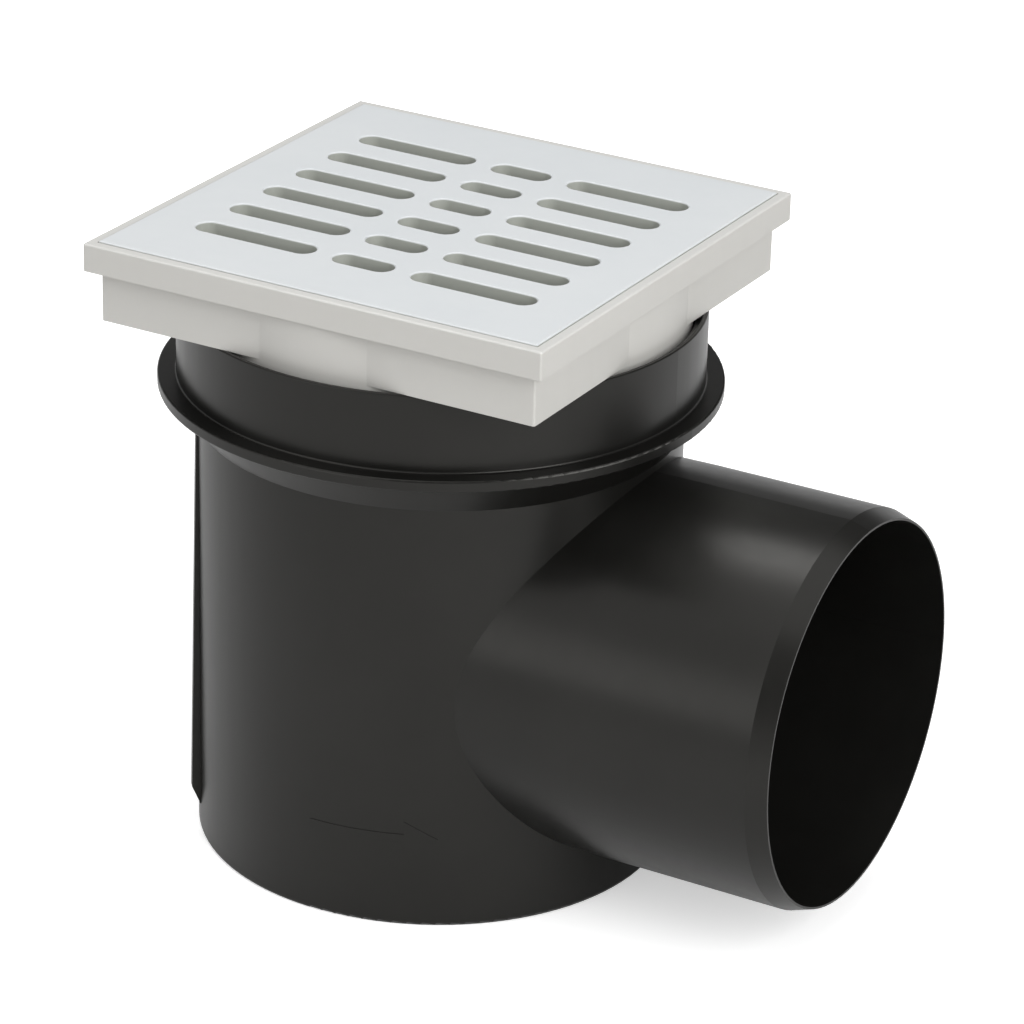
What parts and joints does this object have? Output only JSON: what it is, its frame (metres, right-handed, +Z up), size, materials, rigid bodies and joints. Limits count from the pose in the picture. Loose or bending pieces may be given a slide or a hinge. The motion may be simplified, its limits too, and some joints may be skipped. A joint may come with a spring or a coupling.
{
  "type": "gully trap",
  "caption": "Floor gully trap: round moulded body with a side outlet spigot, square turning top frame, slotted grate and a lift-out cup-and-dip-tube water seal.",
  "frame": {"origin": "centre of the round base, on the surface the part stands on", "axes": "+Z up along the body's axis, +X along the outlet towards its open end"},
  "size_m": [0.2063, 0.1534, 0.1794],
  "materials": {
    "grate_plastic": "pale cool grey moulded plastic, satin",
    "frame_plastic": "light warm grey moulded plastic, satin",
    "seal_rubber": "black rubber",
    "body_plastic": "black moulded plastic, semi gloss",
    "trap_plastic": "dark grey moulded plastic, satin"
  },
  "bodies": {
    "drain": {"drain_body": "body_plastic", "trap_gasket": "seal_rubber", "trap_funnel": "trap_plastic", "trap_cup": "trap_plastic"},
    "seal": {"frame_seal": "seal_rubber"},
    "frame": {"top_frame": "frame_plastic", "grate": "grate_plastic"}
  },
  "joints": [
    {"name": "frame_lift", "type": "slide", "parent": "drain", "child": "seal", "axis": [0, 0, 1], "range_m": [0, 0.012]},
    {"name": "frame_turn", "type": "hinge", "parent": "seal", "child": "frame", "pos_m": [0, 0, 0.1411], "axis": [0, 0, 1], "continuous": true}
  ]
}
